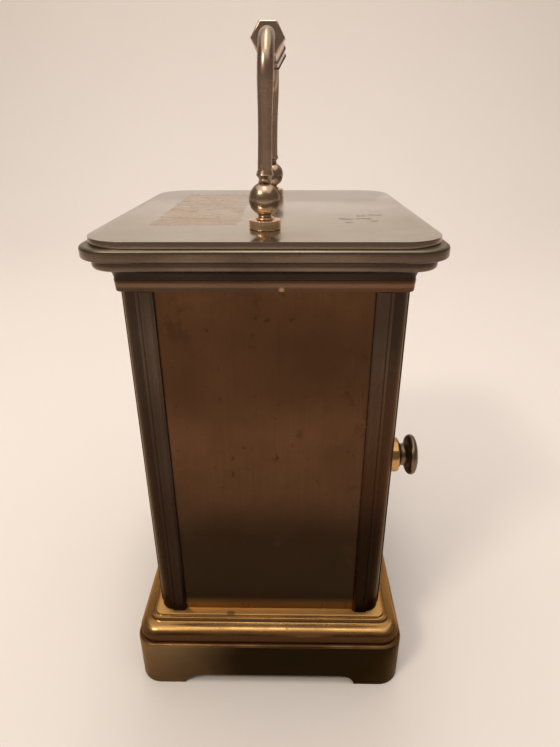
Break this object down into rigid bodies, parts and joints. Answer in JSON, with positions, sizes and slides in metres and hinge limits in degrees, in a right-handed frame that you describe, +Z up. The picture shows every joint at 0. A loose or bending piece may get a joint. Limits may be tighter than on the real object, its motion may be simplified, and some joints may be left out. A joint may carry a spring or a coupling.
{
  "type": "mantel clock",
  "caption": "Small brass carriage clock with a folding carrying handle, a bevelled front glass, a rear door with a turned knob and a quartz movement.",
  "frame": {"origin": "on the table, under the middle of the whole clock including its door knob", "axes": "+Z up; the dial faces -Y and the rear door +Y; +X is the right side as seen by someone reading the dial"},
  "size_m": [0.0794, 0.0702, 0.1509],
  "materials": {
    "brass_polished": "polished brass, darkened with age",
    "brass_aged": "satin brass, darkened with age",
    "brass_plate": "polished pale brass with light wear",
    "brass_brushed": "brushed brass, darkened with age",
    "steel": "bright steel",
    "black_steel": "black",
    "glass": "clear glass with a bevelled edge",
    "enamel": "cream dial enamel with black numerals",
    "black_plastic": "matt black moulding",
    "white_plastic": "natural white acetal",
    "rubber": "black rubber",
    "copper": "enamelled copper wire; brass stands in for copper",
    "board": "green circuit board",
    "cell": null
  },
  "bodies": {
    "case": {"base": "brass_polished", "handle_post_left": "brass_polished", "handle_post_right": "brass_polished", "handle_pivot_pin_left": "brass_polished", "handle_pivot_pin_right": "brass_polished", "mounting_nut": "brass_polished", "cornice": "brass_aged", "handle_nut_left": "brass_aged", "handle_nut_right": "brass_aged", "column_front_left": "brass_aged", "column_front_right": "brass_aged", "column_rear_left": "brass_aged", "column_rear_right": "brass_aged", "top_plate": "brass_plate", "dial_mask": "brass_plate", "side_panel_left": "brass_brushed", "side_panel_right": "brass_brushed", "base_screw_front_left": "steel", "base_screw_front_right": "steel", "base_screw_rear_left": "steel", "base_screw_rear_right": "steel", "cornice_screw_front_left": "steel", "cornice_screw_front_right": "steel", "cornice_screw_rear_left": "steel", "cornice_screw_rear_right": "steel", "mask_screw_left": "steel", "mask_screw_right": "steel", "hinge_pin_lower": "steel", "hinge_pin_upper": "steel", "stator": "steel", "positive_contact": "steel", "negative_contact": "steel", "front_glass": "glass", "dial": "enamel", "movement_front_housing": "black_plastic", "movement_rear_housing": "black_plastic", "mounting_washer": "rubber", "coil": "copper", "circuit_board": "board", "battery_cell": "cell"},
    "door": {"rear_door": "brass_brushed", "knob_collar": "brass_polished", "door_knob": "brass_aged", "knob_screw": "steel"},
    "handle": {"handle_arm_left": "brass_aged", "handle_arm_right": "brass_aged", "handle_grip": "brass_aged"},
    "minute_group": {"minute_arbor": "brass_polished", "minute_hand": "black_steel", "hand_nut": "brass_polished"},
    "hour_group": {"hour_wheel": "white_plastic", "hour_hand": "black_steel"},
    "setting_group": {"minute_wheel": "white_plastic", "setting_knob": "black_plastic"},
    "rotor_group": {"rotor": "black_steel"},
    "fifth_group": {"fifth_wheel": "white_plastic"},
    "second_group": {"second_wheel": "white_plastic"},
    "third_group": {"third_wheel": "white_plastic"},
    "centre_group": {"centre_wheel": "white_plastic"}
  },
  "joints": [
    {"name": "handle_fold", "type": "hinge", "parent": "case", "child": "handle", "pos_m": [0, -0.00093, 0.1206], "axis": [1, 0, 0], "range_deg": [-92.85, 95.15]},
    {"name": "door_swing", "type": "hinge", "parent": "case", "child": "door", "pos_m": [-0.0259, 0.02587, 0.06225], "axis": [0, 0, 1], "range_deg": [0, 95]},
    {"name": "minute_turn", "type": "hinge", "parent": "case", "child": "minute_group", "pos_m": [0, -0.00093, 0.066], "axis": [0, 1, 0], "continuous": true},
    {"name": "hour_turn", "type": "hinge", "parent": "case", "child": "hour_group", "pos_m": [0, -0.00093, 0.066], "axis": [0, 1, 0], "continuous": true},
    {"name": "setting_turn", "type": "hinge", "parent": "case", "child": "setting_group", "pos_m": [0.011, -0.00093, 0.066], "axis": [0, 1, 0], "continuous": true},
    {"name": "rotor_turn", "type": "hinge", "parent": "case", "child": "rotor_group", "pos_m": [0.00625, -0.00093, 0.07683], "axis": [0, 1, 0], "continuous": true},
    {"name": "fifth_turn", "type": "hinge", "parent": "case", "child": "fifth_group", "pos_m": [0.00325, -0.00093, 0.07163], "axis": [0, 1, 0], "continuous": true},
    {"name": "second_turn", "type": "hinge", "parent": "case", "child": "second_group", "pos_m": [0, -0.00093, 0.066], "axis": [0, 1, 0], "continuous": true},
    {"name": "third_turn", "type": "hinge", "parent": "case", "child": "third_group", "pos_m": [-0.00846, -0.00093, 0.06908], "axis": [0, 1, 0], "continuous": true},
    {"name": "centre_turn", "type": "hinge", "parent": "case", "child": "centre_group", "pos_m": [0, -0.00093, 0.066], "axis": [0, 1, 0], "continuous": true}
  ],
  "couplings": [
    {"joint": "hour_turn", "follows": "minute_turn", "ratio": 0.083333},
    {"joint": "setting_turn", "follows": "minute_turn", "ratio": -0.33333},
    {"joint": "fifth_turn", "follows": "rotor_turn", "ratio": -0.16667},
    {"joint": "second_turn", "follows": "rotor_turn", "ratio": 0.033333},
    {"joint": "third_turn", "follows": "rotor_turn", "ratio": -0.0044444},
    {"joint": "centre_turn", "follows": "rotor_turn", "ratio": 0.00055556}
  ]
}
